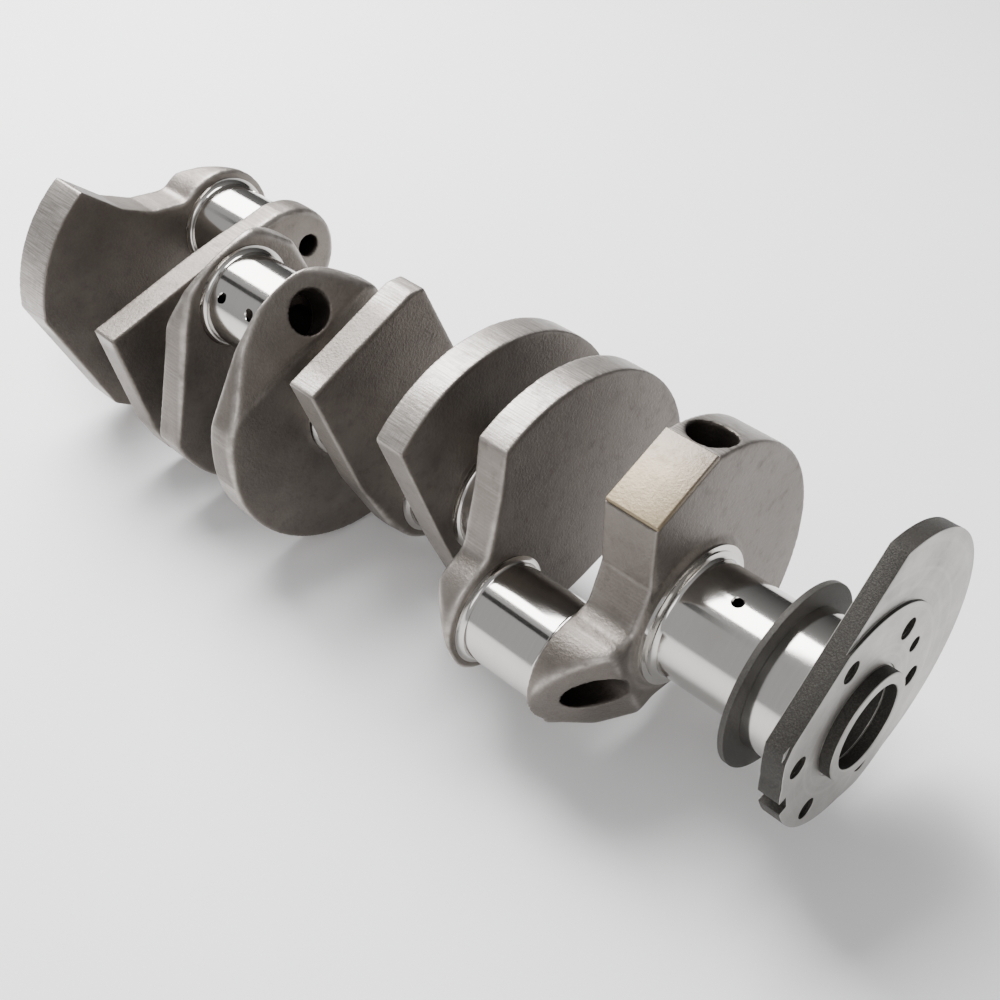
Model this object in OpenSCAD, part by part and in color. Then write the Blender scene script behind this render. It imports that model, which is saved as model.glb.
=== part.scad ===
// Cross-plane crankshaft for an eight-cylinder vee engine, in millimetres.
//
// The main axis runs along X and its origin is the middle of main journal 3. The nose is
// at -X and the flywheel flange at +X. Every section is drawn with crankpin 2 straight up
// (+Z), and lying() then rolls the whole shaft into the pose in which it rests.
//
// Angles are measured about X from +Z towards +Y. One web, one journal and so on is one
// node: each ends at the shoulder where the real forging changes section.

/* [Journals] */
// Distance between the middles of neighbouring main journals
main_pitch = 111.76; // [105:0.1:118]
// Diameter of the main journals
main_d = 62.2; // [58:0.1:66]
// Diameter of the crankpins
pin_d = 53.34; // [50:0.1:56]
// Length of a crankpin, wide enough for two rods
pin_len = 48.3; // [46:0.1:50]
// Piston stroke, twice the throw of a crankpin
stroke = 101.6; // [92:0.1:104]
// Length of the rear main journal, thrust collar excluded
rear_main_len = 51; // [48:0.5:54]
// Radius of the rolled fillet at each end of a journal
fillet_r = 2.6; // [2:0.1:3]
// Height of the ground shoulder beside a journal
shoulder_h = 3.2; // [2.8:0.1:3.6]

/* [Webs] */
// Largest radius that a counterweight is turned to
swing_r = 91; // [90:0.5:93]
// Thickness of webs 2 to 7
web_t = 18.3; // [17:0.1:19]
// Thickness of web 1, at the nose end
front_web_t = 27; // [24:0.5:30]
// Thickness of web 8, at the flange end
rear_web_t = 30; // [28:0.5:32]

/* [Drillings] */
// Diameter of the lightening hole through crankpins 2 to 4
lighten_d = 22; // [18:0.5:23]
// Diameter of the smaller lightening hole through crankpin 1
small_lighten_d = 13; // [11:0.5:14]
// Diameter of the oilways
oil_d = 5; // [4:0.5:5.5]
// Diameter of the balance drilling in the rim of web 8
balance_d = 24; // [20:0.5:26]
// Depth of the balance drilling
balance_depth = 26; // [15:1:30]

/* [Nose] */
// Diameter of the seat for the timing gear
gear_seat_d = 35.2; // [34:0.1:37]
// Length of the seat for the timing gear
gear_seat_len = 30; // [26:1:34]
// Diameter of the seat for the vibration damper
damper_seat_d = 31.67; // [30:0.01:33]
// Length of the seat for the vibration damper
damper_seat_len = 42; // [38:1:60]
// Width of both Woodruff keys
key_w = 4.76; // [4:0.01:5]
// Diameter of the disc that each Woodruff key is cut from
key_d = 22; // [19:0.5:24]
// Diameter of the tapped hole in the nose
nose_hole_d = 10; // [9:0.1:11]
// Depth of the tapped hole in the nose
nose_hole_depth = 32; // [28:1:36]

/* [Rear end] */
// Thickness of the thrust collar on web 8
collar_t = 3.7; // [3:0.1:5]
// Diameter of the thrust collar
collar_d = 75; // [73:1:80]
// Diameter of the oil slinger
slinger_d = 95.6; // [92:0.2:98]
// Thickness of the oil slinger
slinger_t = 3.2; // [2.6:0.1:4]
// Diameter of the journal that the rear seal runs on
seal_d = 73; // [70:0.5:76]
// Length of the journal that the rear seal runs on
seal_len = 24; // [20:1:28]
// Thickness of the flywheel flange at its lobe
flange_t = 9.5; // [8:0.5:11]
// Radius of the round part of the flange
flange_r = 55; // [54:0.5:57]
// Radius of the arc that bounds the balance lobe of the flange
lobe_r = 72; // [70:0.5:74]
// Distance of that arc's centre from the main axis
lobe_out = 22; // [20:0.5:24]
// Direction of the lobe, with crankpin 2 at 0
lobe_dir = 70; // [60:1:80]
// Direction that the straight flank of the lobe faces
flank_dir = -18.5; // [-25:0.5:-12]
// Radius of the machined face that the flywheel bolts to
face_r = 59; // [56:0.5:61]
// Height of that face above the lobe
face_h = 1.8; // [1:0.1:2.5]
// Diameter of the flywheel bolt circle
bolt_circle_d = 90.93; // [90:0.01:92]
// Diameter of the six tapped flange holes
flange_hole_d = 11.1; // [10:0.1:12]
// Direction of the first flange hole, with crankpin 2 at 0
bolt_dir = 2.9; // [0:0.1:5]
// Diameter of the dowel hole in the flange
dowel_hole_d = 8; // [7:0.5:10]
// Diameter of the pilot hub
hub_d = 55; // [53:0.5:58]
// Height of the pilot hub above the bolting face
hub_h = 6; // [4:0.5:8]
// Width of the relief groove round the foot of the hub
relief_w = 1; // [0.6:0.1:1.5]
// Depth of the relief groove
relief_deep = 0.6; // [0.4:0.1:1]
// Diameter of the bore that centres the converter
pilot_d = 43.26; // [42:0.01:45]
// Depth of that bore from the end of the hub
pilot_depth = 14; // [12:0.5:17]
// Diameter of the deeper bore for a pilot bush
bush_bore_d = 27.8; // [26:0.1:29]
// Depth of the bush bore beyond the pilot bore
bush_depth = 24; // [18:1:30]

/* [Pose] */
// Roll of the shaft as it lies, which tips crankpin 2 off the vertical
lie_angle = 23.5; // [0:0.5:30]

/* [Hidden] */
$fn = 96;

journal_tint = "silver";
web_tint = "dimgray";
flange_tint = "darkgray";

throw = stroke / 2;
main_r = main_d / 2;
pin_r = pin_d / 2;
// Small overlap that carries a cut cleanly through a face
eps = 0.5;
// Longer than anything on the shaft is wide
far = 400;

// Directions in which crankpins 1 to 4 point
pin_dir = [90, 0, 180, 270];
// Middle of each crankpin along the shaft
pin_x = [for (i = [0:3]) (i - 1.5) * main_pitch];

// Stations along the shaft, from the nose to the flange
web_1_front = pin_x[0] - pin_len / 2 - front_web_t;
main_len = main_pitch - pin_len - 2 * web_t;
main_1_front = web_1_front - main_len;
gear_seat_front = main_1_front - gear_seat_len;
nose_end = gear_seat_front - damper_seat_len;
web_8_rear = pin_x[3] + pin_len / 2 + rear_web_t;
main_5_front = web_8_rear + collar_t;
slinger_front = main_5_front + rear_main_len;
seal_front = slinger_front + slinger_t;
flange_front = seal_front + seal_len;
lobe_face = flange_front + flange_t;
bolt_face = lobe_face + face_h;
hub_end = bolt_face + hub_h;

// Diameter of each crankpin's lightening hole, and how far it is from the main axis
lighten = [
    [small_lighten_d, throw + 15], [lighten_d, throw + 6.4],
    [lighten_d, throw + 6.4], [lighten_d, throw + 6.4]
];

// ---- helpers ----------------------------------------------------------------

// Point at radius r and angle a about the main axis, in the (Y, Z) plane
function at(r, a) = [r * sin(a), r * cos(a)];

// Rolls the finished shaft into the pose in which it lies
module lying() {
    rotate([lie_angle, 0, 0]) children();
}

// A flat (Y, Z) outline made into a plate from x to x + t
module plate(x, t) {
    translate([x, 0, 0]) rotate([90, 0, 90]) linear_extrude(t) children();
}

// A round length of shaft from x to x + len
module round_bar(x, len, r) {
    translate([x, 0, 0]) rotate([0, 90, 0]) cylinder(h = len, r = r);
}

// Moves a journal drawn on the main axis out to crankpin i
module on_pin(i) {
    translate([0, at(throw, pin_dir[i])[0], at(throw, pin_dir[i])[1]]) children();
}

// A journal with a ground shoulder and a rolled fillet at its rear end, and at its
// front end too unless it runs out plain there
module journal(x, len, r, plain_front = false) {
    land = 0.8;
    start = plain_front ? -fillet_r : land;
    translate([x, 0, 0]) rotate([0, 90, 0]) rotate_extrude() difference() {
        square([r + shoulder_h, len]);
        difference() {
            translate([r, start]) square([shoulder_h + eps, len - land - start]);
            translate([r, start]) fillet_corner(1);
            translate([r, len - land]) fillet_corner(-1);
        }
    }
}

// The quarter-round left in the corner between a journal and its shoulder
module fillet_corner(side) {
    difference() {
        translate([0, side > 0 ? 0 : -fillet_r]) square(fillet_r);
        translate([fillet_r, side * fillet_r]) circle(r = fillet_r);
    }
}

// ---- drillings --------------------------------------------------------------

// Where an oilway opens, in the frame of its throw: sideways, then outwards
oil_pin = [-pin_r * sin(33), throw + pin_r * cos(33)];
oil_main = [-main_r * sin(54), -main_r * cos(54)];
oil_across = [main_r * sin(77), -main_r * cos(77)];
// Distance of an oil hole from the middle of its crankpin
oil_off = 11.5;

// A straight drilling between two points
module drilling(from, to, d) {
    v = to - from;
    len = norm(v);
    translate(from) rotate([0, acos(v[2] / len), atan2(v[1], v[0])])
        translate([0, 0, -4]) cylinder(h = len + 8, r = d / 2, $fn = 32);
}

// Slanted oilway from main journal x_main to crankpin i, and its cross drilling
module oilway(i, side, x_main) {
    x_pin = pin_x[i] + side * oil_off;
    rotate([-pin_dir[i], 0, 0]) {
        drilling([x_pin, oil_pin[0], oil_pin[1]], [x_main, oil_main[0], oil_main[1]], oil_d);
        drilling([x_main, oil_main[0], oil_main[1]],
                 [x_main, oil_across[0], oil_across[1]], oil_d);
    }
}

// Middle of the oil hole on each main journal
main_mid = [
    main_1_front + main_len / 2, -main_pitch, 0, main_pitch, main_5_front + rear_main_len / 2
];

// Both oilways of crankpin i
module oilways(i) {
    oilway(i, -1, main_mid[i]);
    oilway(i, 1, main_mid[i + 1]);
}

// Lightening hole through crankpin i, with the mouth that opens it on each web
module lightening(i) {
    half = pin_len / 2 + 4;
    out = lighten[i][1];
    rotate([-pin_dir[i], 0, 0]) {
        translate([0, 0, out]) round_bar(pin_x[i] - half, 2 * half, lighten[i][0] / 2);
        for (w = webs) if (w[2] == i) {
            x_in = w[6] > 0 ? w[0] : w[0] + w[1];
            x_out = w[6] > 0 ? w[0] + w[1] : w[0];
            mouth([x_in, 0, out], [x_out, w[9][0], w[9][1]], w[8]);
        }
    }
}

// A drilling that starts 1 mm inside the crankpin and runs out of the web's nose
module mouth(inner, outer, d) {
    v = outer - inner;
    len = norm(v);
    translate(inner) rotate([0, acos(v[2] / len), atan2(v[1], v[0])])
        translate([0, 0, -1]) cylinder(h = len + 30, r = d / 2);
}

// ---- webs -------------------------------------------------------------------

// Corner points of each web, in the frame of its own throw: [sideways, outwards].
// Points beyond the turned radius only say where the rim runs.
first_outline = [
    [0, 60], [-25, 55], [-34, 35], [-45, 17], [-61, 3], [-100, -16], [-100, -76],
    [100, -76], [100, -16], [61, 3], [45, 17], [34, 35], [25, 55]
];
second_outline = [
    [0, 60], [33, 62], [36, 43], [63, 22], [100, 0], [100, -78], [16, -79],
    [-54, -65], [-45, 0], [-41, 26], [-33, 62]
];
seventh_outline = [
    [0, 60], [33, 62], [36, 43], [63, 22], [84, 9], [100, -30], [100, -100],
    [-70, -100], [-52, -62], [-45, 0], [-41, 26], [-33, 62]
];
third_outline = [
    [0, 60], [33, 70], [43, 52], [41, -5], [36, -100], [-100, -100], [-100, -10],
    [-83, 5], [-37, 67], [-30, 74]
];
sixth_outline = [
    [0, 60], [33, 70], [43, 52], [41, -5], [36, -76], [34, -100], [-100, -100],
    [-100, -18], [-37, 67], [-30, 74]
];
fourth_outline = [
    [0, 60], [33, 70], [45, 50], [45, -20], [40, -100], [-100, -100], [-100, 20],
    [-75, 48], [-36, 77], [-20, 84]
];
fifth_outline = [
    [0, 60], [-34, 62], [-45, 40], [-47, 0], [-47, -78], [35, -78], [41, 0],
    [39, 45], [34, 62]
];
eighth_outline = [
    [-18, 80], [-34, 63], [-33, 36], [-43, 14], [-76, 0], [-76, -100], [76, -100],
    [76, 0], [43, 14], [28, 30], [27, 60]
];

// Each web: [front, thickness, crankpin, outline, boss radius, turned radius,
//            side of its bevel, radius where the bevel meets the outer face,
//            diameter of the lightening mouth, where it opens on the outer face,
//            centre of the turned rim]
webs = [
    [web_1_front, front_web_t, 0, first_outline, 35, swing_r,
        -1, 50, 13, [0, throw + 15], [0, 5]],
    [pin_x[0] + pin_len / 2, web_t, 0, second_outline, 34, swing_r - 4,
        1, 85, 13, [0, throw + 15], [0, 0]],
    [pin_x[1] - pin_len / 2 - web_t, web_t, 1, third_outline, 38, swing_r - 8,
        -1, 60, 22, [-9, 72], [0, 0]],
    [pin_x[1] + pin_len / 2, web_t, 1, fourth_outline, 38, swing_r - 4,
        1, 56, 22, [10, 73], [0, 0]],
    [pin_x[2] - pin_len / 2 - web_t, web_t, 2, fifth_outline, 36, swing_r - 4,
        -1, 60, 22, [0, 68], [0, 0]],
    [pin_x[2] + pin_len / 2, web_t, 2, sixth_outline, 38, swing_r - 2,
        1, 60, 22, [0, 68], [0, 0]],
    [pin_x[3] - pin_len / 2 - web_t, web_t, 3, seventh_outline, 35, swing_r - 3,
        -1, 62, 22, [0, 64], [-3, -3]],
    [pin_x[3] + pin_len / 2, rear_web_t, 3, eighth_outline, 31, swing_r - 3,
        1, 46, 25, [0, throw + 6.4], [-3, -3]]
];

// Outline of a web, its rim turned to turned_r about rim_centre
module web_outline(outline, boss_r, turned_r, rim_centre) {
    intersection() {
        translate(rim_centre) circle(r = turned_r, $fn = 180);
        union() {
            polygon(outline);
            translate([0, throw]) circle(r = boss_r);
        }
    }
}

// Slanted cut that takes the corner off the nose of a web
module nose_bevel(w) {
    x_inner = w[6] > 0 ? w[0] : w[0] + w[1];
    nose_r = throw + w[4];
    slope = atan2(nose_r - w[7], w[1]);
    translate([x_inner, 0, nose_r]) rotate([0, w[6] * slope, 0])
        translate([w[6] > 0 ? -20 : -100, -far / 2, 0]) cube([120, far, 80]);
}

// One web: its plate, less the bevel on its nose, the lightening hole and the oilways
module web(n) {
    w = webs[n - 1];
    lying() difference() {
        rotate([-pin_dir[w[2]], 0, 0]) difference() {
            plate(w[0], w[1]) web_outline(w[3], w[4], w[5], w[10]);
            nose_bevel(w);
        }
        lightening(w[2]);
        oilways(w[2]);
        if (n == 8) balance_drilling();
    }
}

// Radial drilling in the rim of web 8 that trims the balance of the shaft
module balance_drilling() {
    rotate([-40, 0, 0]) translate([pin_x[3] + pin_len / 2 + rear_web_t / 2, 0, 0])
        translate([0, 0, swing_r - balance_depth])
            cylinder(h = balance_depth + 20, r = balance_d / 2);
}

// ---- journals ---------------------------------------------------------------

module crankpin(i) {
    color(journal_tint) lying() difference() {
        on_pin(i) journal(pin_x[i] - pin_len / 2, pin_len, pin_r);
        lightening(i);
        oilways(i);
    }
}

// Main journal n, from x over length len
module main_journal(n, x, len) {
    color(journal_tint) lying() difference() {
        journal(x, len, main_r, plain_front = n == 1);
        if (n > 1) oilway(n - 2, 1, main_mid[n - 1]);
        if (n < 5) oilway(n - 1, -1, main_mid[n - 1]);
    }
}

// ---- nose -------------------------------------------------------------------

// Middle of each Woodruff key
gear_key_x = gear_seat_front + gear_seat_len / 2;
damper_key_x = nose_end + damper_seat_len / 2;
// Height of a key above its seat, and of the disc's centre above the key's flat top
key_proud = 2.3;
key_flat = 1.6;

// The disc that a key is cut from, and that its slot is milled with
module key_disc(x, seat_d, w) {
    translate([x, -w / 2, seat_d / 2 + key_proud + key_flat])
        rotate([-90, 0, 0]) cylinder(h = w, r = key_d / 2);
}

module woodruff_key(x, seat_d) {
    color(flange_tint) lying() intersection() {
        key_disc(x, seat_d, key_w);
        translate([x - key_d, -key_w, seat_d / 2 + key_proud - 2 * key_d])
            cube([2 * key_d, 2 * key_w, 2 * key_d]);
    }
}

module damper_key() {
    woodruff_key(damper_key_x, damper_seat_d);
}

module gear_key() {
    woodruff_key(gear_key_x, gear_seat_d);
}

module damper_seat() {
    chamfer = 1.5;
    r = damper_seat_d / 2;
    color(journal_tint) lying() difference() {
        translate([nose_end, 0, 0]) rotate([0, 90, 0]) rotate_extrude() polygon([
            [0, 0], [r - chamfer, 0], [r, chamfer], [r, damper_seat_len], [0, damper_seat_len]
        ]);
        key_disc(damper_key_x, damper_seat_d, key_w);
        round_bar(nose_end - eps, nose_hole_depth + eps, nose_hole_d / 2);
    }
}

module gear_seat() {
    chamfer = 1;
    r = gear_seat_d / 2;
    color(journal_tint) lying() difference() {
        translate([gear_seat_front, 0, 0]) rotate([0, 90, 0]) rotate_extrude() polygon([
            [0, 0], [r - chamfer, 0], [r, chamfer], [r, gear_seat_len], [0, gear_seat_len]
        ]);
        key_disc(gear_key_x, gear_seat_d, key_w);
    }
}

// ---- rear end ---------------------------------------------------------------

module thrust_collar() {
    color(flange_tint) lying() difference() {
        round_bar(web_8_rear, collar_t, collar_d / 2);
        oilway(3, 1, main_mid[4]);
    }
}

module oil_slinger() {
    color(web_tint) lying() round_bar(slinger_front, slinger_t, slinger_d / 2);
}

module seal_journal() {
    color(journal_tint) lying() difference() {
        round_bar(seal_front, seal_len, seal_d / 2);
        bores();
    }
}

// Pilot bore and the deeper bore for the bush
module bores() {
    round_bar(hub_end - pilot_depth, pilot_depth + eps, pilot_d / 2);
    round_bar(hub_end - pilot_depth - bush_depth, bush_depth + eps, bush_bore_d / 2);
}

// Round flange, with a lobe that ends on one side in a flank tangent to the round part
module flange_outline() {
    circle(r = flange_r);
    difference() {
        translate(at(lobe_out, lobe_dir)) circle(r = lobe_r, $fn = 180);
        rotate([0, 0, -flank_dir]) translate([-far / 2, flange_r]) square(far);
        rotate([0, 0, -flank_dir]) translate([-far - flange_r, -far / 2]) square([far, far]);
    }
}

module rear_flange() {
    dowel_dir = 90;
    notch_dir = -80;
    notch_w = 9;
    notch_deep = 5;
    color(flange_tint) lying() difference() {
        union() {
            plate(flange_front, flange_t) flange_outline();
            plate(lobe_face, face_h) intersection() {
                flange_outline();
                circle(r = face_r);
            }
        }
        bores();
        round_bar(bolt_face - relief_deep, relief_deep + eps, hub_d / 2 + relief_w);
        for (k = [0:5]) rotate([-bolt_dir - 60 * k, 0, 0])
            translate([0, 0, bolt_circle_d / 2])
                round_bar(flange_front - eps, flange_t + face_h + 2 * eps, flange_hole_d / 2);
        rotate([-dowel_dir, 0, 0]) translate([0, 0, bolt_circle_d / 2 - 2])
            round_bar(flange_front - eps, flange_t + face_h + 2 * eps, dowel_hole_d / 2);
        rotate([-notch_dir, 0, 0])
            translate([flange_front - eps, -notch_w / 2, flange_r - notch_deep])
                cube([flange_t + face_h + 2 * eps, notch_w, 2 * notch_deep]);
    }
}

module pilot_hub() {
    color(flange_tint) lying() difference() {
        round_bar(bolt_face - relief_deep, hub_h + relief_deep, hub_d / 2);
        bores();
    }
}

damper_seat();
gear_seat();
damper_key();
gear_key();
main_journal(1, main_1_front, main_len);  // main_journal_1
main_journal(2, -main_pitch - main_len / 2, main_len);  // main_journal_2
main_journal(3, -main_len / 2, main_len);  // main_journal_3
main_journal(4, main_pitch - main_len / 2, main_len);  // main_journal_4
main_journal(5, main_5_front, rear_main_len);  // main_journal_5
crankpin(0);  // crankpin_1
crankpin(1);  // crankpin_2
crankpin(2);  // crankpin_3
crankpin(3);  // crankpin_4
color(web_tint) web(1);  // web_1
color(web_tint) web(2);  // web_2
color(web_tint) web(3);  // web_3
color(web_tint) web(4);  // web_4
color(web_tint) web(5);  // web_5
color(web_tint) web(6);  // web_6
color(web_tint) web(7);  // web_7
color(web_tint) web(8);  // web_8
thrust_collar();
oil_slinger();
seal_journal();
rear_flange();
pilot_hub();
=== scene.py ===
# %% [markdown]
# # A cross-plane crankshaft
# The shaft of an eight-cylinder vee engine is forged in one piece. Its webs keep the grey-brown
# skin of the forging, and only what runs in a bearing or bolts to something is machined. So
# most of the work here is two finishes, and the line where one turns into the other.
#
# The CAD model is the frame: it fixes where every journal and web is. Each CAD solid is either
# rebuilt at a finer grade or copied and worked on, and the piece made from it stands for it.

import math

import bmesh
import bpy
import numpy as np
from mathutils import Matrix, Vector


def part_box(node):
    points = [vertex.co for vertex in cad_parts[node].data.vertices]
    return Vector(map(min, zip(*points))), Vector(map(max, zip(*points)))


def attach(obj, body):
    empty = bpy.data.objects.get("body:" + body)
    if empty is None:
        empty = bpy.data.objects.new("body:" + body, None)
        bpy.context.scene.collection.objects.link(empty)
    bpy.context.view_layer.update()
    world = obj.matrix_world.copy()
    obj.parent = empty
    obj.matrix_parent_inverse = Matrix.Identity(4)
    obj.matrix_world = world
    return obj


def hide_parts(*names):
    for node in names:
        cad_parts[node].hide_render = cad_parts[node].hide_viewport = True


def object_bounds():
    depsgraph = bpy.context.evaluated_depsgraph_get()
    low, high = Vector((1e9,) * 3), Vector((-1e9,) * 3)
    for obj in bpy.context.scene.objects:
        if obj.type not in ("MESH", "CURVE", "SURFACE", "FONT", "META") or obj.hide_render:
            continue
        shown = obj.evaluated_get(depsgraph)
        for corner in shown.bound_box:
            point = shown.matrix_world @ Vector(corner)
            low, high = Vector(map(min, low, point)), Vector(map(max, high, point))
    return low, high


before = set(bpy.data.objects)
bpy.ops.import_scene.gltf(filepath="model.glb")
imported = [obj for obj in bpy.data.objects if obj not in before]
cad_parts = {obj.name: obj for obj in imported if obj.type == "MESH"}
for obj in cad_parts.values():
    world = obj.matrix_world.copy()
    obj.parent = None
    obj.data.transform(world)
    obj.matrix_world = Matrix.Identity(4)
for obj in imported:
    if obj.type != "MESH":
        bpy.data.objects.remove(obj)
cad_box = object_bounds()
MM = 0.001
print("CAD box in mm:", [[round(v / MM, 1) for v in corner] for corner in cad_box])

# %% [markdown]
# ## Where things are
# A crankpin's box is centred on its own axis, so the four boxes give the throws. The main axis
# is the frame's X axis. Sizes that a box can't give, such as a fillet's radius, are named here
# once, in millimetres.

# %% Stations and sizes
PIN_R, MAIN_R = 26.67, 31.1  # ground radius of crankpins and of main journals
FILLET, LAND = 2.6, 0.8  # rolled fillet, and the flat ring of the shoulder beside it
OIL_R = 2.5  # oil drillings
OIL_FROM_MIDDLE = 11.5  # distance of an oil hole from the middle of its crankpin
LIGHTEN_R = {1: 6.5, 2: 11, 3: 11, 4: 11}  # hole along each crankpin
LIGHTEN_OUT = {1: 15, 2: 6.4, 3: 6.4, 4: 6.4}  # how far outwards of the pin's axis it runs
BOLT_CIRCLE_R, BOLT_HOLE_R = 45.465, 5.55
LIE_TURN = 23.5  # how far the shaft is rolled about its axis as it lies, in degrees
FIRST_BOLT_TURN = 2.9  # direction of the first flange hole, with crankpin 2 upright
AXIS = Vector((1, 0, 0))


def middle(node):
    low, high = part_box(node)
    return (Vector(low) + Vector(high)) / 2


def ends(node):
    low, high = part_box(node)
    return low[0], high[0]


pin_middle = {i: middle(f"crankpin_{i}") for i in range(1, 5)}
main_middle = {i: middle(f"main_journal_{i}") for i in range(1, 6)}
throw = pin_middle[1].yz.length
outwards = {i: Vector((0, *p.yz)).normalized() for i, p in pin_middle.items()}
sideways = {i: outwards[i].cross(AXIS) for i in outwards}
floor_z = cad_box[0][2]
print(f"throw {throw / MM:.2f} mm, floor at {floor_z / MM:.2f} mm")

# %% [markdown]
# ## Wires
# Both shaders and Geometry Nodes are graphs of nodes. A `Wire` is one output socket, and
# arithmetic on wires adds Math nodes, so that a rule can be read as a formula. Every other
# node comes from `Graph.node`, which sets the node's settings first and its sockets after.


# %% Wires and graphs
class Wire:
    """An output socket that can be used in Python expressions."""

    def __init__(self, graph, socket):
        self.graph = graph
        self.socket = socket

    def also(self, out):
        return Wire(self.graph, self.socket.node.outputs[out])

    def math(self, operation, *values):
        return self.graph.node("ShaderNodeMath", dict(enumerate(values)), operation=operation)

    def __add__(self, other):
        return self.math("ADD", self, other)

    def __sub__(self, other):
        return self.math("SUBTRACT", self, other)

    def __rsub__(self, other):
        return self.math("SUBTRACT", other, self)

    def __mul__(self, other):
        return self.math("MULTIPLY", self, other)

    def __truediv__(self, other):
        return self.math("DIVIDE", self, other)

    def __pow__(self, other):
        return self.math("POWER", self, other)

    def __abs__(self):
        return self.math("ABSOLUTE", self)

    def __lt__(self, other):
        return self.math("LESS_THAN", self, other)

    def __gt__(self, other):
        return self.math("GREATER_THAN", self, other)

    def root(self):
        return self.math("SQRT", self)

    def clamped(self, high=1.0):
        return self.math("MINIMUM", self.math("MAXIMUM", self, 0.0), high)

    __radd__ = __add__
    __rmul__ = __mul__


class Graph:
    """A node tree that is filled with node()."""

    def __init__(self, tree):
        self.tree = tree

    def node(self, kind, inputs=None, out=0, stops=None, **settings):
        made = self.tree.nodes.new(kind)
        for key, value in settings.items():
            setattr(made, key, value)
        for place, shade in stops or []:
            stop = made.color_ramp.elements.new(place)
            stop.color = (*shade, 1)
        if stops:
            made.color_ramp.elements.remove(made.color_ramp.elements[0])
            made.color_ramp.elements.remove(made.color_ramp.elements[-1])
        for key, value in (inputs or {}).items():
            if isinstance(value, Wire):
                self.tree.links.new(value.socket, made.inputs[key])
            else:
                made.inputs[key].default_value = value
        return Wire(self, made.outputs[out])

    def split(self, vector):
        x = self.node("ShaderNodeSeparateXYZ", {0: vector})
        return x, x.also(1), x.also(2)

    def join(self, x, y, z):
        return self.node("ShaderNodeCombineXYZ", {0: x, 1: y, 2: z})


# %% [markdown]
# ## Finishes
# A `Finish` is a material whose graph starts from the object's own coordinates, which here are
# the frame's metres, so one noise scale means the same size on every piece. What changes over
# a surface feeds base colour, roughness, metallic and a bump, and nothing else.


# %% Finish class
class Finish(Graph):
    """A material with helpers for the patterns that metal shows."""

    def __init__(self, name):
        self.material = bpy.data.materials.new(name)
        self.material.use_nodes = True
        super().__init__(self.material.node_tree)
        self.shader = self.tree.nodes["Principled BSDF"]
        self.here = self.node("ShaderNodeTexCoord", out="Object")
        self.x, self.y, self.z = self.split(self.here)

    def noise(self, scale, detail=3.0, rough=0.5, at=None):
        sockets = {"Vector": at or self.here, "Scale": scale, "Detail": detail, "Roughness": rough}
        return self.node("ShaderNodeTexNoise", sockets, out="Fac")

    def mix(self, amount, first, second):
        def colour(c):
            return c if isinstance(c, Wire) else (*c, 1)

        sockets = {0: amount, 6: colour(first), 7: colour(second)}
        return self.node("ShaderNodeMix", sockets, out=2, data_type="RGBA")

    def ramp(self, value, stops):
        return self.node("ShaderNodeValToRGB", {"Fac": value}, stops=stops)

    def step(self, value, low, high):
        """0 below low, 1 above high and a straight rise between."""
        return ((value - low) / (high - low)).clamped()

    def mark(self, name):
        """A mask that was painted on the mesh when the piece was made."""
        return self.node("ShaderNodeAttribute", out="Fac", attribute_name=name)

    def radius(self):
        return (self.y * self.y + self.z * self.z).root()

    def bump(self, height, depth, under=None):
        sockets = {"Height": height, "Distance": depth, "Strength": 1.0}
        if under:
            sockets["Normal"] = under
        return self.node("ShaderNodeBump", sockets)

    def set(self, **sockets):
        for name, value in sockets.items():
            socket = self.shader.inputs[name.replace("_", " ")]
            if isinstance(value, Wire):
                self.tree.links.new(value.socket, socket)
            else:
                socket.default_value = value
        return self.material
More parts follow.
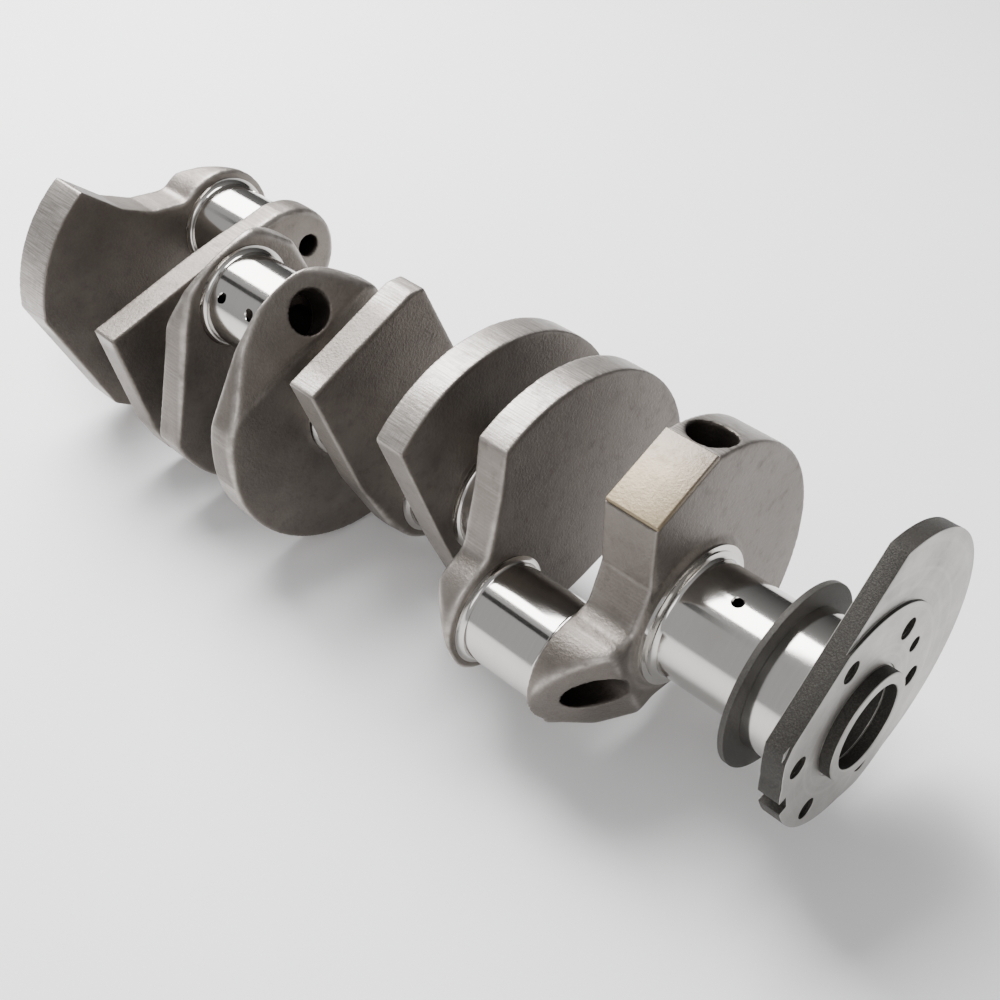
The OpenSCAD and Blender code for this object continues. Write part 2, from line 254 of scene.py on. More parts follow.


# %% [markdown]
# ### The forging's skin
# A forged web is shot-blasted: a fine orange-peel of dents, darker where scale stayed in the
# hollows, with an oil film that makes it look satin. Handling wears its edges bright. The rims
# that a lathe has turned are lighter and carry the tool's feed lines, with faint cross marks
# where the cut chattered over the interrupted rim. Four masks come from the mesh: `turned`
# for those rims, `worn` for edges, `bare` for faces that were milled and `drilled` for the
# walls of the holes, which are painted nearly black as painted shade inside the holes.

# %% Forged steel
def forged_steel():
    f = Finish("forged_steel")
    blotch = f.noise(26, 5, 0.55)
    cloud = f.noise(9, 3, 0.5)
    peel = f.noise(620, 3, 0.55)
    dents = f.noise(1500, 2, 0.5)
    scale_left = f.step(f.noise(150, 6, 0.62), 0.52, 0.72)
    skin = f.ramp(
        blotch * 0.6 + cloud * 0.4,
        [(0.3, (0.085, 0.072, 0.062)), (0.52, (0.15, 0.13, 0.114)), (0.75, (0.235, 0.212, 0.192))],
    )
    skin = f.mix(scale_left * 0.35, skin, (0.075, 0.062, 0.053))
    skin = f.mix(peel * 0.25, skin, (0.30, 0.28, 0.262))
    worn = f.mark("worn").clamped() * f.step(f.noise(110, 4, 0.6), 0.25, 0.6)
    skin = f.mix(worn * 0.55, skin, (0.52, 0.485, 0.45))

    turned = f.mark("turned").clamped()
    angle = f.y.math("ARCTAN2", f.y, f.z)
    feed = f.noise(1, 2, 0.6, at=f.join(f.x * 2600, angle * 6, 0.0))
    chatter = f.noise(1, 2, 0.5, at=f.join(f.x * 60, angle * 110, 4.0))
    rim = f.mix(f.step(chatter, 0.35, 0.65), (0.25, 0.226, 0.205), (0.45, 0.42, 0.392))
    rim = f.mix(f.step(feed, 0.35, 0.7) * 0.45, rim, (0.20, 0.18, 0.162))
    rim = f.mix(scale_left * 0.3, rim, (0.13, 0.115, 0.102))

    bare = f.mark("bare").clamped()
    milled = f.mix(f.noise(60, 5, 0.6), (0.20, 0.155, 0.095), (0.33, 0.27, 0.18))

    colour = f.mix(turned, skin, rim)
    colour = f.mix(bare, colour, milled)
    # Painted shade: the walls of the lightening holes and the balance drilling are mixed towards
    # near black.
    colour = f.mix(f.mark("drilled").clamped() * 0.9, colour, (0.02, 0.015, 0.012))
    smooth = (turned * 0.7 + bare * 0.6).clamped()
    rough = 0.47 + (blotch - 0.5) * 0.3 - worn * 0.1 - smooth * 0.06 + scale_left * 0.08
    relief = f.bump(peel * (1 - smooth * 0.7), 0.00022)
    relief = f.bump(dents * (1 - smooth * 0.6), 0.00006, relief)
    relief = f.bump((feed * 0.6 + chatter * 0.4) * turned, 0.00009, relief)
    return f.set(Base_Color=colour, Roughness=rough, Metallic=0.86, Normal=relief)


forged = forged_steel()
print("finish:", forged.name)

# %% [markdown]
# ### Ground and polished journals
# Bearings and seals run on these. They are ground, then lapped with a belt that turns round
# them, so what is left are hair-fine rings round the axis. From a distance they are mirrors.
# The rings need only the coordinate along the shaft, stretched very fine.


# %% Polished steel
def polished_steel():
    f = Finish("polished_steel")
    rings = f.noise(1, 4, 0.7, at=f.join(f.x * 5200, f.y * 9, f.z * 9))
    bands = f.noise(1, 2, 0.5, at=f.join(f.x * 160, f.y * 3, f.z * 3))
    smear = f.noise(38, 4, 0.55)
    colour = f.mix(f.step(rings, 0.3, 0.75) * 0.4, (0.53, 0.513, 0.49), (0.41, 0.395, 0.373))
    colour = f.mix(f.step(smear, 0.5, 0.8) * 0.35, colour, (0.42, 0.39, 0.35))
    # Painted shade: the walls of the oil drillings and bores are painted near black, and made
    # rougher, so the holes read dark.
    inside = f.mark("inside").clamped()
    colour = f.mix(inside, colour, (0.035, 0.03, 0.026))
    rough = 0.085 + inside * 0.4 + f.step(rings, 0.4, 0.8) * 0.05 + bands * 0.03
    rough = rough + f.step(smear, 0.5, 0.8) * 0.06
    relief = f.bump(rings, 0.0000022)
    return f.set(Base_Color=colour, Roughness=rough, Metallic=1.0, Normal=relief)


polished = polished_steel()
print("finish:", polished.name)

# %% [markdown]
# ### Turned faces and dark rims
# The flange and the slinger are forged with the rest. A lathe then faces them, which leaves
# rings about the main axis, while their outer rims stay nearly black and grainy. The mesh mask
# `faced` is 1 where the tool has been.


# %% Faced steel
def faced_steel():
    f = Finish("faced_steel")
    tool = f.noise(1, 3, 0.6, at=f.join(f.radius() * 3400, f.x * 900, 0.0))
    sweep = f.noise(1, 2, 0.5, at=f.join(f.radius() * 220, 0.0, 2.0))
    stain = f.noise(48, 6, 0.6)
    grit = f.noise(1300, 4, 0.65)
    face = f.mix(f.step(stain, 0.35, 0.75), (0.42, 0.405, 0.385), (0.27, 0.257, 0.24))
    face = f.mix(f.step(tool, 0.35, 0.75) * 0.4, face, (0.27, 0.26, 0.245))
    face = f.mix(f.step(sweep, 0.5, 0.8) * 0.25, face, (0.66, 0.65, 0.635))
    rim = f.ramp(grit, [
        (0.3, (0.018, 0.016, 0.014)), (0.5, (0.032, 0.029, 0.025)), (0.75, (0.065, 0.06, 0.053)),
    ])
    faced = f.mark("faced").clamped()
    colour = f.mix(faced, rim, face)
    rough = 0.60 - faced * (0.22 - stain * 0.12)
    relief = f.bump(grit * (1 - faced * 0.93), 0.00035)
    relief = f.bump(tool * faced, 0.000012, relief)
    return f.set(Base_Color=colour, Roughness=rough, Metallic=0.55 + faced * 0.33, Normal=relief)


faced = faced_steel()
print("finish:", faced.name)

# %% [markdown]
# ### Key steel
# A Woodruff key is cut from ground bar and left plain: a grey satin with the saw's fine marks
# across it and a trace of oil.


# %% Key steel
def key_steel():
    f = Finish("key_steel")
    drag = f.noise(1, 3, 0.6, at=f.join(f.x * 300, f.y * 2600, f.z * 300))
    stain = f.noise(240, 4, 0.6)
    colour = f.mix(stain, (0.38, 0.365, 0.34), (0.55, 0.535, 0.51))
    return f.set(
        Base_Color=f.mix(f.step(drag, 0.4, 0.8) * 0.4, colour, (0.27, 0.26, 0.245)),
        Roughness=0.32 + stain * 0.15, Metallic=0.95, Normal=f.bump(drag, 0.000008),
    )


key_finish = key_steel()
print("finish:", key_finish.name)

# %% [markdown]
# ## Mesh helpers
# The CAD meshes arrive as loose triangles that already face the right way. A copy is merged,
# and its flat stretches are dissolved into single faces, which gives bevels clean edges to
# follow. `baked` turns an object with modifiers into a plain mesh.


# %% Mesh helpers
def add_object(name, mesh, material=None):
    piece = bpy.data.objects.new(name, mesh)
    bpy.context.scene.collection.objects.link(piece)
    if material:
        mesh.materials.clear()
        mesh.materials.append(material)
    return piece


def baked(piece):
    """Replaces the piece's mesh by what its modifiers make of it."""
    view = bpy.context.evaluated_depsgraph_get()
    mesh = bpy.data.meshes.new_from_object(piece.evaluated_get(view))
    piece.modifiers.clear()
    piece.data = mesh
    mesh.name = piece.name
    return piece


def merged_copy(node, flatten=True):
    """A bmesh of the CAD node with its triangles joined."""
    bm = bmesh.new()
    bm.from_mesh(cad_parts[node].data)
    bmesh.ops.remove_doubles(bm, verts=bm.verts, dist=0.002 * MM)
    if flatten:
        bmesh.ops.dissolve_limit(bm, angle_limit=math.radians(0.4), verts=bm.verts, edges=bm.edges)
    return bm


def to_object(bm, name, material=None):
    mesh = bpy.data.meshes.new(name)
    bm.to_mesh(mesh)
    bm.free()
    return add_object(name, mesh, material)


def paint(mesh, name, values):
    """Writes one number per vertex where a finish can read it."""
    attribute = mesh.attributes.new(name, "FLOAT", "POINT")
    attribute.data.foreach_set("value", np.asarray(values, dtype=np.float32))


def rising(value, low, high):
    """0 below low, 1 above high and a straight rise between, for arrays."""
    return np.clip((value - low) / (high - low), 0, 1)


def paint_faces(mesh, name, values):
    attribute = mesh.attributes.new(name, "FLOAT", "FACE")
    attribute.data.foreach_set("value", np.asarray(values, dtype=np.float32))


def vertices(mesh):
    flat = np.empty(len(mesh.vertices) * 3, dtype=np.float32)
    mesh.vertices.foreach_get("co", flat)
    return flat.reshape(-1, 3).astype(float)


def hand_over(piece, node):
    """The piece stands for its CAD node and moves with the shaft."""
    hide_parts(node)
    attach(piece, "root")


def tally(mesh):
    return sum(len(p.vertices) - 2 for p in mesh.polygons)


# %% [markdown]
# ## Journals
# A journal is a round bar whose radius follows a rule: full height on the shoulder's thin
# land, then a quarter-circle fillet down to the ground surface. That is what Geometry Nodes
# are good at. The tree starts from a unit cylinder, bunches its rings towards the ends, where
# the fillet needs them, and then sets every point's radius from its distance to the end.

# %% Journal tree
def input_sockets(tree, names):
    for name in names:
        kind = "NodeSocketInt" if name == "Count" else "NodeSocketFloat"
        tree.interface.new_socket(name=name, in_out="INPUT", socket_type=kind)
    tree.interface.new_socket(name="Geometry", in_out="OUTPUT", socket_type="NodeSocketGeometry")


def finish_tree(g, shape, material):
    shape = g.node("GeometryNodeRealizeInstances", {0: shape})
    shape = g.node("GeometryNodeSetMaterial", {"Geometry": shape, "Material": material})
    result = g.tree.nodes.new("NodeGroupOutput")
    g.tree.links.new(shape.socket, result.inputs[0])
    return g.tree


def journal_tree():
    g = Graph(bpy.data.node_groups.new("journal", "GeometryNodeTree"))
    names = ["Middle", "Y", "Z", "Length", "Radius", "Shoulder", "Land", "Fillet", "Front"]
    input_sockets(g.tree, names)
    given = g.tree.nodes.new("NodeGroupInput")
    size = {s.name: Wire(g, s) for s in given.outputs if s.name}
    bar = g.node(
        "GeometryNodeMeshCylinder",
        {"Vertices": 192, "Side Segments": 64, "Radius": 1.0, "Depth": 2.0},
    )
    across, up, along = g.split(g.node("GeometryNodeInputPosition"))
    half = size["Length"] / 2
    from_end = (1 - abs(along)) ** 2 * half
    in_fillet = (from_end - size["Land"]).clamped(size["Fillet"])
    sag = size["Fillet"] - in_fillet
    rise = size["Fillet"] - (size["Fillet"] ** 2 - sag * sag).clamped().root()
    on_land = from_end < size["Land"]
    has_shoulder = ((along > 0.0) + size["Front"]).clamped()
    height = (on_land * size["Shoulder"] + (1 - on_land) * rise) * has_shoulder
    radius = size["Radius"] + height
    x = size["Middle"] + along.math("SIGN", along) * (half - from_end)
    place = g.join(x, size["Y"] + across * radius, size["Z"] + up * radius)
    shaped = g.node("GeometryNodeSetPosition", {"Geometry": bar, "Position": place})
    return finish_tree(g, shaped, polished)


def grown(name, tree, sizes):
    """Runs a tree once and keeps what it made as a plain mesh."""
    piece = add_object(name, bpy.data.meshes.new(name))
    modifier = piece.modifiers.new("shape", "NODES")
    modifier.node_group = tree
    for item in tree.interface.items_tree:
        if item.in_out == "INPUT":
            modifier[item.identifier] = sizes[item.name]
    mesh = baked(piece).data
    finish = mesh.materials[-1]
    mesh.materials.clear()
    mesh.materials.append(finish)
    mesh.polygons.foreach_set("material_index", [0] * len(mesh.polygons))
    return piece


journals = journal_tree()
print("journal tree:", len(journals.nodes), "nodes")

# %% [markdown]
# ### Oilways
# Oil is pumped into the main bearings and reaches the rods through slanted drillings. Each
# mouth is countersunk and polished, because a sharp edge would scrape the bearing. A drilling
# is a plain rod and a mouth is a cone that points along the journal's own radius, and both are
# cut away with a Boolean.


# %% Oilways
def rod(start, end, radius, end_radius=None, sides=40):
    """A closed round bar or cone between two points."""
    bm = bmesh.new()
    reach = end - start
    turn = reach.to_track_quat("Z", "Y").to_matrix().to_4x4()
    bmesh.ops.create_cone(
        bm, cap_ends=True, segments=sides, radius1=radius,
        radius2=radius if end_radius is None else end_radius, depth=reach.length,
        matrix=Matrix.Translation((start + end) / 2) @ turn,
    )
    return to_object(bm, "cutter")


def cut(piece, cutters):
    for cutter in cutters:
        modifier = piece.modifiers.new("cut", "BOOLEAN")
        modifier.operation = "DIFFERENCE"
        modifier.solver = "MANIFOLD"
        modifier.object = cutter
    baked(piece)
    for cutter in cutters:
        bpy.data.objects.remove(cutter)


def mouth(centre, radius, angle, pin):
    """Where a drilling opens on a journal: the point, and the outward direction there."""
    out = math.sin(angle) * sideways[pin] + math.cos(angle) * outwards[pin]
    return centre + out * radius, out


PIN_MOUTH, MAIN_MOUTH, CROSS_MOUTH = math.radians(-33), math.radians(234), math.radians(103)


def oilway(pin, side):
    """Points and directions of the three mouths of one oilway."""
    main = pin if side < 0 else pin + 1
    on_pin = pin_middle[pin] + AXIS * side * OIL_FROM_MIDDLE * MM
    return [
        mouth(on_pin, PIN_R * MM, PIN_MOUTH, pin),
        mouth(main_middle[main], MAIN_R * MM, MAIN_MOUTH, pin),
        mouth(main_middle[main], MAIN_R * MM, CROSS_MOUTH, pin),
    ]


def drillings(way):
    """Cutters for one oilway: two rods and a countersink at each mouth."""
    (pin, _), (main, _), (cross, _) = way
    over = 4 * MM
    rods = [
        rod(a + (a - b).normalized() * over, b + (b - a).normalized() * over, OIL_R * MM)
        for a, b in ((pin, main), (main, cross))
    ]
    sinks = [
        rod(p - out * 0.9 * MM, p + out * 0.7 * MM, 2.2 * MM, 4.0 * MM) for p, out in way
    ]
    return rods, sinks


def oil_cutters(pins, mouths):
    """Everything that opens on one journal. mouths says which of an oilway's three do."""
    cutters = []
    for pin, side in pins:
        rods, sinks = drillings(oilway(pin, side))
        keep_rods = rods if 2 in mouths else rods[:1]
        keep = keep_rods + [sinks[k] for k in mouths]
        for spare in set(rods + sinks) - set(keep):
            bpy.data.objects.remove(spare)
        cutters += keep
    return cutters


print("oil mouths per journal:", 2, "to", 4)

# %% [markdown]
# ### Normals of a mirror
# A Boolean leaves long thin triangles round each mouth, and a mirror would show them. On the
# ground surface the true normal is known: it points straight away from the axis. Those corners
# get it, and all others keep the mesh's own.


# %% Build the journals
def polish_normals(piece, centre, radius):
    mesh = piece.data
    mesh.shade_smooth()
    mesh.set_sharp_from_angle(angle=math.radians(35))
    co = vertices(mesh)
    away = co - np.array(centre)
    away[:, 0] = 0
    reach = np.linalg.norm(away, axis=1)
    on_bar = np.abs(reach - radius) < 0.02 * MM
    away /= np.maximum(reach, 1e-9)[:, None]
    corner_vertex = np.empty(len(mesh.loops), dtype=np.int32)
    mesh.loops.foreach_get("vertex_index", corner_vertex)
    normals = np.empty(len(mesh.loops) * 3, dtype=np.float32)
    mesh.corner_normals.foreach_get("vector", normals)
    normals = normals.reshape(-1, 3).astype(float)
    ideal = away[corner_vertex]
    near = (normals * ideal).sum(axis=1) > 0.9
    use = near & on_bar[corner_vertex]
    normals[use] = ideal[use]
    mesh.normals_split_custom_set([tuple(n) for n in normals])
    # Faces sunk below the ground surface, away from the two ends, are the walls of the drillings
    # and bores, and they are marked for the painted shade inside the holes.
    low, high = co[:, 0].min() + 0.01 * MM, co[:, 0].max() - 0.01 * MM
    paint_faces(mesh, "inside", [
        rising((radius - (face.center - centre).yz.length) / MM, 0.3, 1.0)
        * (low < face.center.x < high)
        for face in mesh.polygons
    ])


def make_journal(node, centre, radius, cutters, front=1.0):
    low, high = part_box(node)
    sizes = {
        "Middle": centre.x, "Y": centre.y, "Z": centre.z, "Length": high[0] - low[0],
        "Radius": radius, "Shoulder": (high[2] - low[2]) / 2 - radius,
        "Land": LAND * MM, "Fillet": FILLET * MM, "Front": front,
    }
    piece = grown(node + "_ground", journals, sizes)
    cut(piece, cutters)
    polish_normals(piece, centre, radius)
    hand_over(piece, node)
    return piece


triangles = 0
for pin in pin_middle:
    first, last = ends(f"crankpin_{pin}")
    line = (pin_middle[pin] + outwards[pin] * LIGHTEN_OUT[pin] * MM).yz
    bore = rod(
        Vector((first - MM, *line)), Vector((last + MM, *line)), LIGHTEN_R[pin] * MM, sides=72
    )
    drilled = oil_cutters([(pin, -1), (pin, 1)], [0])
    made = make_journal(f"crankpin_{pin}", pin_middle[pin], PIN_R * MM, drilled + [bore])
    triangles += tally(made.data)
for main in main_middle:
    ways = [(p, s) for p, s in ((main - 1, 1), (main, -1)) if p in pin_middle]
    drilled = oil_cutters(ways, [1, 2])
    made = make_journal(
        f"main_journal_{main}", main_middle[main], MAIN_R * MM, drilled, 0.0 if main == 1 else 1.0
    )
    triangles += tally(made.data)
print("journals:", triangles, "triangles")

# %% [markdown]
# ## Webs
# A forging has no sharp edge and no exact plane. Each web starts as its merged CAD solid. A
# low boss is added where the main journal grows out of it, and the two are rebuilt on a voxel
# grid, which melts them together. Then a smoothing pass rolls the edges over: fully on
# the nose, where the die left generous radii, and much less along the turned rim, where a tool
# has cut the skin away. How far a point moved tells how exposed it is, and that becomes the
# `worn` mask.

# %% Web helper
GRID = 1.0 * MM


def low_boss(face_x, outward, centre, inner, spread, height):
    """A flat cone on a web's face round a journal, reaching a little into the web."""
    out = AXIS * outward
    base = Vector((face_x, *centre.yz)) - out * 1.2 * MM
    top = Vector((face_x, *centre.yz)) + out * height
    return rod(base, top, inner + spread, inner, sides=96)


def solid_web(node, extras):
    web = to_object(merged_copy(node, flatten=False), node + "_forged", forged)
    bm = bmesh.new()
    bm.from_mesh(web.data)
    for extra in extras:
        bm.from_mesh(extra.data)
        bpy.data.objects.remove(extra)
    bm.to_mesh(web.data)
    bm.free()
    remesh = web.modifiers.new("grid", "REMESH")
    remesh.mode = "VOXEL"
    remesh.voxel_size = GRID
    return baked(web)


def soften(web, weights, rounds):
    group = web.vertex_groups.new(name="soft")
    for level in np.unique(weights):
        group.add([int(i) for i in np.nonzero(weights == level)[0]], float(level), "REPLACE")
    before = vertices(web.data)
    smooth = web.modifiers.new("soften", "SMOOTH")
    smooth.factor = 0.5
    smooth.iterations = rounds
    smooth.vertex_group = "soft"
    baked(web)
    return np.linalg.norm(vertices(web.data) - before, axis=1)

# %% [markdown]
# The rim that a lathe has turned is the part of a web's edge that lies farthest from the main
# axis. It is found from the mesh: far out, and facing away from the axis rather than along it.

# %% Build the webs
WEB_PIN = {n: (n + 1) // 2 for n in range(1, 9)}
# where each lightening hole opens on its web's outer face: sideways and outwards, in mm
MOUTH = {1: (0, 65.8), 2: (0, 65.8), 3: (-9, 72), 4: (10, 73), 5: (0, 68), 6: (0, 68),
         7: (0, 64), 8: (0, 57.2)}
REAR_MOUTH_R = 12.5
BALANCE_R = 12
SIDE_LIMIT = 74.8  # flat side of web 8 beside the milled pad, sideways from the main axis
BALANCE_TURN = math.radians(40 - LIE_TURN)
BALANCE_WAY = np.array((math.sin(BALANCE_TURN), math.cos(BALANCE_TURN)))
ROUNDS = 70


def rim_masks(web, pin):
    co = vertices(web.data)
    normal = np.empty(len(co) * 3, dtype=np.float32)
    web.data.vertex_normals.foreach_get("vector", normal)
    normal = normal.reshape(-1, 3)
    radius = np.linalg.norm(co[:, 1:], axis=1) / MM
    facing = (normal[:, 1:] * co[:, 1:]).sum(axis=1) / (radius * MM)
    out = co[:, 1:] @ np.array(outwards[pin].yz) / MM
    return radius, facing, out


def lower_side(web, pin, limit):
    """Brings one flat side of the web down to a limit, so that the milled pad stands proud."""
    co = vertices(web.data)
    side = np.array(sideways[pin])
    over = np.maximum(co @ side - limit, 0)
    web.data.vertices.foreach_set("co", (co - over[:, None] * side).ravel())


def from_mouth(web, n, pin, inner_x, outer_x):
    """How far each vertex is from the axis of the web's lightening hole, in mm."""
    start = Vector((inner_x, *(outwards[pin] * (throw + LIGHTEN_OUT[pin] * MM)).yz))
    side, out = MOUTH[n]
    end = AXIS * outer_x + (sideways[pin] * side + outwards[pin] * out) * MM
    way = np.array((end - start).normalized())
    offset = vertices(web.data) - np.array(start)
    return np.linalg.norm(np.cross(offset, way), axis=1) / MM


def off_cheek(web, pin, pin_face):
    """0 on the cheek round the crankpin's shoulder, which a cutter left flat, and 1 elsewhere."""
    co = vertices(web.data)
    reach = np.linalg.norm(co[:, 1:] - np.array(pin_middle[pin].yz), axis=1) / MM
    return np.maximum(rising(reach, 31, 36), rising(np.abs(co[:, 0] - pin_face) / MM, 2, 6))


def in_balance_hole(web, x):
    """1 on the wall and floor of the balance drilling, which points along BALANCE_WAY; painted
    shade goes there.
    """
    co = vertices(web.data)
    up = co[:, 1:] @ BALANCE_WAY / MM
    aside = np.hypot(co[:, 0] - x, co[:, 1:] @ np.array((-BALANCE_WAY[1], BALANCE_WAY[0]))) / MM
    return (1 - rising(aside, BALANCE_R + 0.3, BALANCE_R + 0.9)) * rising(up, 60, 62)


for n, pin in WEB_PIN.items():
    node = f"web_{n}"
    first, last = ends(node)
    main_face = (first, -1) if n % 2 else (last, 1)
    spread, height = (5, 2.6) if n == 8 else (2.5, 0.6)
    inner = (MAIN_R + 6.4 if n == 8 else MAIN_R + 3.4) * MM
    boss = low_boss(*main_face, Vector((0, 0, 0)), inner, spread * MM, height * MM)
    web = solid_web(node, [boss])
    if n == 8:
        lower_side(web, pin, SIDE_LIMIT * MM)
    radius, facing, out = rim_masks(web, pin)
    turned = rising(facing, 0.75, 0.93) * rising(radius, 80, 83) * (out < 20)
    weights = 0.1 + 0.9 * rising(out, 8, 50)
    pin_face = first + last - main_face[0]
    hole = from_mouth(web, n, pin, pin_face, main_face[0])
    weights *= rising(hole, 13, 20) * off_cheek(web, pin, pin_face)
    weights = np.round(np.maximum(weights, 0.05), 2)
    # The `drilled` mask covers the lightening hole's wall, and on web 8 the balance drilling too;
    # the finish paints them nearly black as painted shade inside the holes.
    wall = REAR_MOUTH_R if n == 8 else LIGHTEN_R[pin]
    drilled = 1 - rising(hole, wall + 0.3, wall + 0.9)
    if n == 8:
        drilled = np.maximum(drilled, in_balance_hole(web, (first + last) / 2))
    moved = soften(web, weights, ROUNDS)
    paint(web.data, "turned", turned)
    paint(web.data, "worn", rising(moved / MM, 0.12, 0.75))
    paint(web.data, "drilled", drilled)
    web.data.shade_smooth()
    hand_over(web, node)
    print(web.name, tally(web.data), "triangles")

# %% [markdown]
# ### The milled pad
# Web 8 has a flat on its side that was milled to clamp the forging by, or to trim its weight.
# It stands a little proud of the skin, with a crisp step round it. It is a thin plate with
# bevelled edges, let into the web, and its bare metal dulls towards the balance drilling.


# %% Pad on web 8
def plate_on_side(name, pin, x_span, side_span, out_span, edge):
    """A bevelled block given along the shaft, sideways and outwards from a throw."""
    bm = bmesh.new()
    bmesh.ops.create_cube(bm, size=1)
    spans = (x_span, side_span, out_span)
    for v in bm.verts:
        x, s, o = (span[0] if c < 0 else span[1] for c, span in zip(v.co, spans))
        v.co = AXIS * x + sideways[pin] * s + outwards[pin] * o
    bmesh.ops.recalc_face_normals(bm, faces=bm.faces)
    plate = to_object(bm, name, forged)
    bevel = plate.modifiers.new("edge", "BEVEL")
    bevel.width = edge
    bevel.segments = 3
    return baked(plate)


PAD_TOP, PAD_FOOT = -44, -0.5  # its ends, outwards from the main axis
PAD_BACK, PAD_FACE = 70, 76.9  # its two large faces, sideways from the main axis
first, last = ends("web_8")
pad = plate_on_side(
    "web_8_pad", 4, (first + 0.2 * MM, last - 0.2 * MM), (PAD_BACK * MM, PAD_FACE * MM),
    (PAD_TOP * MM, PAD_FOOT * MM), 0.8 * MM,
)
pad_out = vertices(pad.data) @ np.array(outwards[4]) / MM
paint(pad.data, "bare", 0.2 + 0.8 * rising(pad_out, PAD_TOP, PAD_FOOT))
pad.data.shade_smooth()
pad.data.set_sharp_from_angle(angle=math.radians(30))
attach(pad, "root")
print("pad:", tally(pad.data), "triangles")

# %% [markdown]
# ## Turned ends
# The nose, the collar, the slinger, the seal journal, the flange and the hub all came off a
# lathe. Their CAD solids are already right, so each is copied, and every sharp edge gets the
# small chamfer that a turner breaks it with. Faces that look along the shaft are marked as
# `faced`, and the rims between them keep their dark skin. The slinger is marked only faintly
# all over, because its faces are nearly as dark as its rim.


# %% Turned parts
def turned_part(node, suffix, edge, material, mask=None):
    piece = to_object(merged_copy(node), f"{node}_{suffix}", material)
    bevel = piece.modifiers.new("edge", "BEVEL")
    bevel.width = edge
    bevel.segments = 2
    bevel.limit_method = "ANGLE"
    bevel.angle_limit = math.radians(40)
    bevel.use_clamp_overlap = True
    baked(piece)
    mesh = piece.data
    mesh.shade_smooth()
    mesh.set_sharp_from_angle(angle=math.radians(25))
    if mask:
        paint_faces(mesh, "faced", [mask(p) for p in mesh.polygons])
    hand_over(piece, node)
    print(piece.name, tally(mesh), "triangles")


def along_shaft(face):
    return float(abs(face.normal.x) > 0.35)


def barely(face):
    return 0.08


turned_part("thrust_collar", "ground", 0.3 * MM, polished)
turned_part("oil_slinger", "faced", 0.4 * MM, faced, barely)
turned_part("seal_journal", "ground", 0.2 * MM, polished)
turned_part("rear_flange", "faced", 0.5 * MM, faced, along_shaft)
turned_part("pilot_hub", "faced", 0.5 * MM, faced, along_shaft)
turned_part("damper_seat", "ground", 0.2 * MM, polished)
turned_part("gear_seat", "ground", 0.2 * MM, polished)
turned_part("damper_key", "cut", 0.25 * MM, key_finish)
turned_part("gear_key", "cut", 0.25 * MM, key_finish)

# %% [markdown]
# ## Threads
# The flywheel bolts screw into six tapped holes and one bolt closes the nose. A thread is a
# spiral with a three-cornered section, the same in every hole, so one tree makes it once and
# places it on a circle of points. The crests stand just proud of the hole's wall.


# %% Thread tree
def thread_tree():
    g = Graph(bpy.data.node_groups.new("threads", "GeometryNodeTree"))
    input_sockets(g.tree, ["Start", "Depth", "Radius", "Pitch", "Circle", "First", "Count"])
    given = g.tree.nodes.new("NodeGroupInput")
    size = {s.name: Wire(g, s) for s in given.outputs if s.name}
    spiral = g.node("GeometryNodeCurveSpiral", {
        "Resolution": 40, "Rotations": size["Depth"] / size["Pitch"],
        "Start Radius": size["Radius"], "End Radius": size["Radius"], "Height": size["Depth"],
    })
    ridge = g.node(
        "GeometryNodeCurvePrimitiveCircle", {"Resolution": 3, "Radius": size["Pitch"] * 0.45}
    )
    thread = g.node(
        "GeometryNodeCurveToMesh", {"Curve": spiral, "Profile Curve": ridge, "Fill Caps": True}
    )
    place = g.node("GeometryNodeInputIndex")
    angle = size["First"] + place * (math.tau / 6)
    centre = g.join(
        size["Start"], size["Circle"] * angle.math("SINE", angle),
        size["Circle"] * angle.math("COSINE", angle),
    )
    points = g.node("GeometryNodePoints", {"Count": size["Count"], "Position": centre})
    holes = g.node("GeometryNodeInstanceOnPoints", {
        "Points": points, "Instance": thread, "Rotation": (0.0, math.pi / 2, 0.0),
    })
    return finish_tree(g, holes, faced)


threads = thread_tree()
bolt_direction = math.radians(FIRST_BOLT_TURN - LIE_TURN)
flange_first, flange_last = ends("rear_flange")
nose_end = ends("damper_seat")[0]
flange_threads = grown("flange_threads", threads, {
    "Start": flange_first + 1 * MM, "Depth": flange_last - flange_first - 2 * MM,
    "Radius": (BOLT_HOLE_R + 0.1) * MM, "Pitch": 1.27 * MM, "Circle": BOLT_CIRCLE_R * MM,
    "First": bolt_direction, "Count": 6,
})
nose_threads = grown("nose_threads", threads, {
    "Start": nose_end + 2 * MM, "Depth": 29 * MM, "Radius": 5.1 * MM, "Pitch": 1.5 * MM,
    "Circle": 0.0, "First": 0.0, "Count": 1,
})
for threaded in (flange_threads, nose_threads):
    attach(threaded, "root")
    print(threaded.name, tally(threaded.data), "triangles")

# %% [markdown]
# ## Floor
# The shaft lies on a plain pale table. It is a stage and not part of the object, and its finish
# has only a trace of mottling, so that the soft shadow reads.


# %% Floor
def pale_table():
    f = Finish("pale_table")
    tone = f.mix(f.noise(5, 3, 0.5), (0.93, 0.93, 0.93), (0.95, 0.95, 0.95))
    return f.set(Base_Color=tone, Roughness=0.6 + f.noise(30) * 0.1, Metallic=0.0)


bm = bmesh.new()
bmesh.ops.create_grid(bm, x_segments=1, y_segments=1, size=4.0)
bmesh.ops.translate(bm, verts=bm.verts, vec=(0, 0, floor_z - 0.2 * MM))
table = to_object(bm, "table", pale_table())
print("table at", round(floor_z / MM, 2), "mm")

# %% [markdown]
# ## Light
# Polished journals show what is around them, so the light is built as a studio would: one
# large soft box overhead, a black card along its edge that draws the hard dark line beside each
# highlight, and a grey room that is darker low down and on the +Y side.


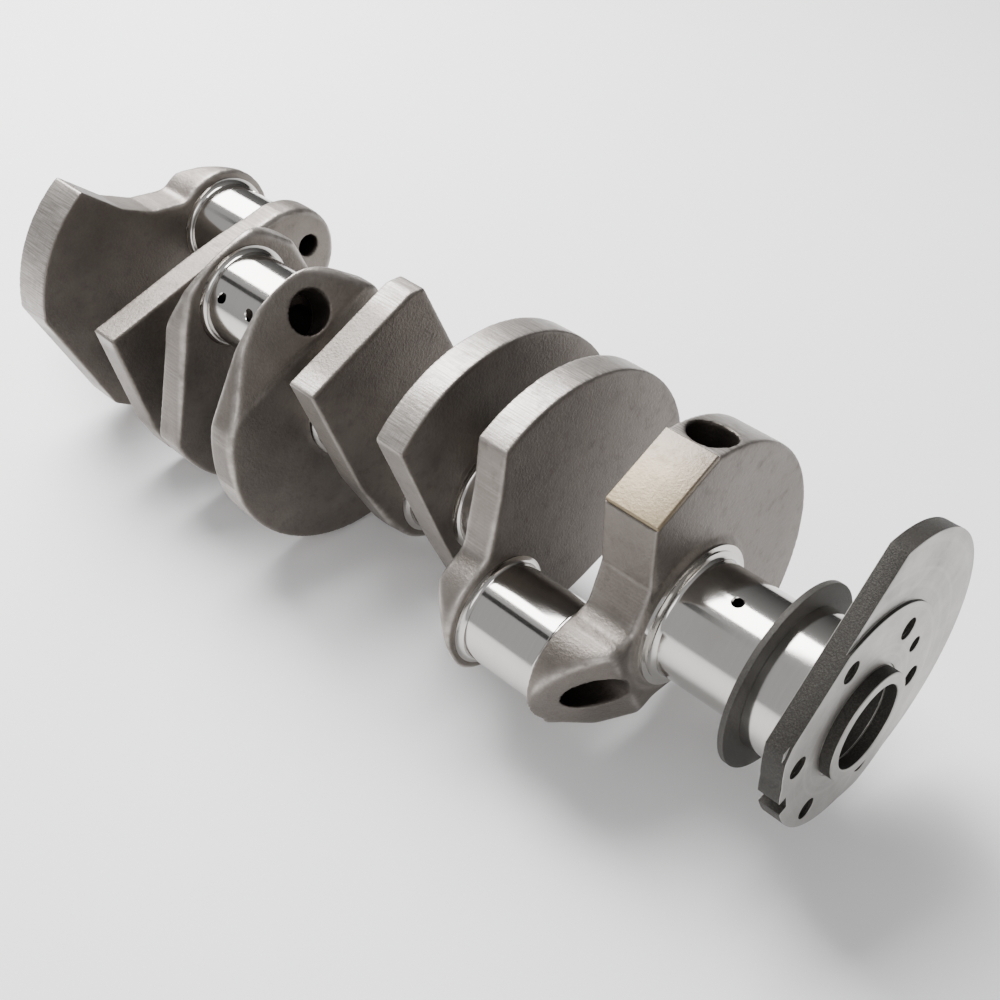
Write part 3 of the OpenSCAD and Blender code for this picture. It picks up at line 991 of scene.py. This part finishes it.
# %% Light
def lamp(name, direction, distance, width, height, power):
    light = bpy.data.lights.new(name, "AREA")
    light.shape = "RECTANGLE"
    light.size, light.size_y = width, height
    light.energy = power
    lamp_object = bpy.data.objects.new(name, light)
    bpy.context.scene.collection.objects.link(lamp_object)
    way = Vector(direction).normalized()
    lamp_object.location = way * distance
    lamp_object.rotation_euler = way.to_track_quat("Z", "Y").to_euler()


world = bpy.data.worlds.new("room")
bpy.context.scene.world = world
world.use_nodes = True
room = Graph(world.node_tree)
to_x, to_y, to_z = room.split(room.node("ShaderNodeTexCoord", out="Generated"))
glow = room.node(
    "ShaderNodeValToRGB", {"Fac": 0.45 - to_y * 0.4 + to_z * 0.3},
    stops=[(0.1, (0.10, 0.10, 0.10)), (0.45, (0.42, 0.42, 0.42)), (0.8, (0.85, 0.85, 0.86))],
)
back = world.node_tree.nodes["Background"]
world.node_tree.links.new(glow.socket, back.inputs["Color"])
back.inputs["Strength"].default_value = 0.78
lamp("soft_box", (-0.53, 0.17, 0.76), 1.6, 1.0, 1.75, 95)
lamp("fill", (0.6, -0.6, 0.55), 2.2, 1.2, 1.2, 12)


def black_card(name, low, high, distance, reach):
    """A dark card seen from the shaft between two directions across the soft box's edge."""
    bm = bmesh.new()
    corners = []
    for way, turn in ((low, -1), (low, 1), (high, 1), (high, -1)):
        way = Vector(way).normalized()
        along = (Vector((1, 0, 0)) - way * way.x).normalized()
        corners.append(bm.verts.new(way * distance + along * turn * reach))
    bm.faces.new(corners)
    to_object(bm, name, card_finish)


card_finish = Finish("black_card").set(Base_Color=(0.01, 0.01, 0.01, 1), Roughness=0.9)
black_card("edge_card", (-0.53, -0.34, 0.775), (-0.53, -0.47, 0.705), 1.5, 0.5)
print("lamps: 2")

# %% [markdown]
# ## Camera
# The camera looks down on the flange end from about forty degrees. It stands close, so the
# far nose is drawn at less than two thirds of the near flange's scale.

# %% Camera
camera_data = bpy.data.cameras.new("camera")
camera_data.lens = 50.37
camera_data.sensor_width = 36
camera = bpy.data.objects.new("camera", camera_data)
camera.location = (0.48276, -0.38907, 0.46664)
camera.rotation_euler = (math.radians(49.16), 0, math.radians(44.64))
bpy.context.scene.collection.objects.link(camera)
bpy.context.scene.camera = camera
print("camera", tuple(round(v, 3) for v in camera.location))
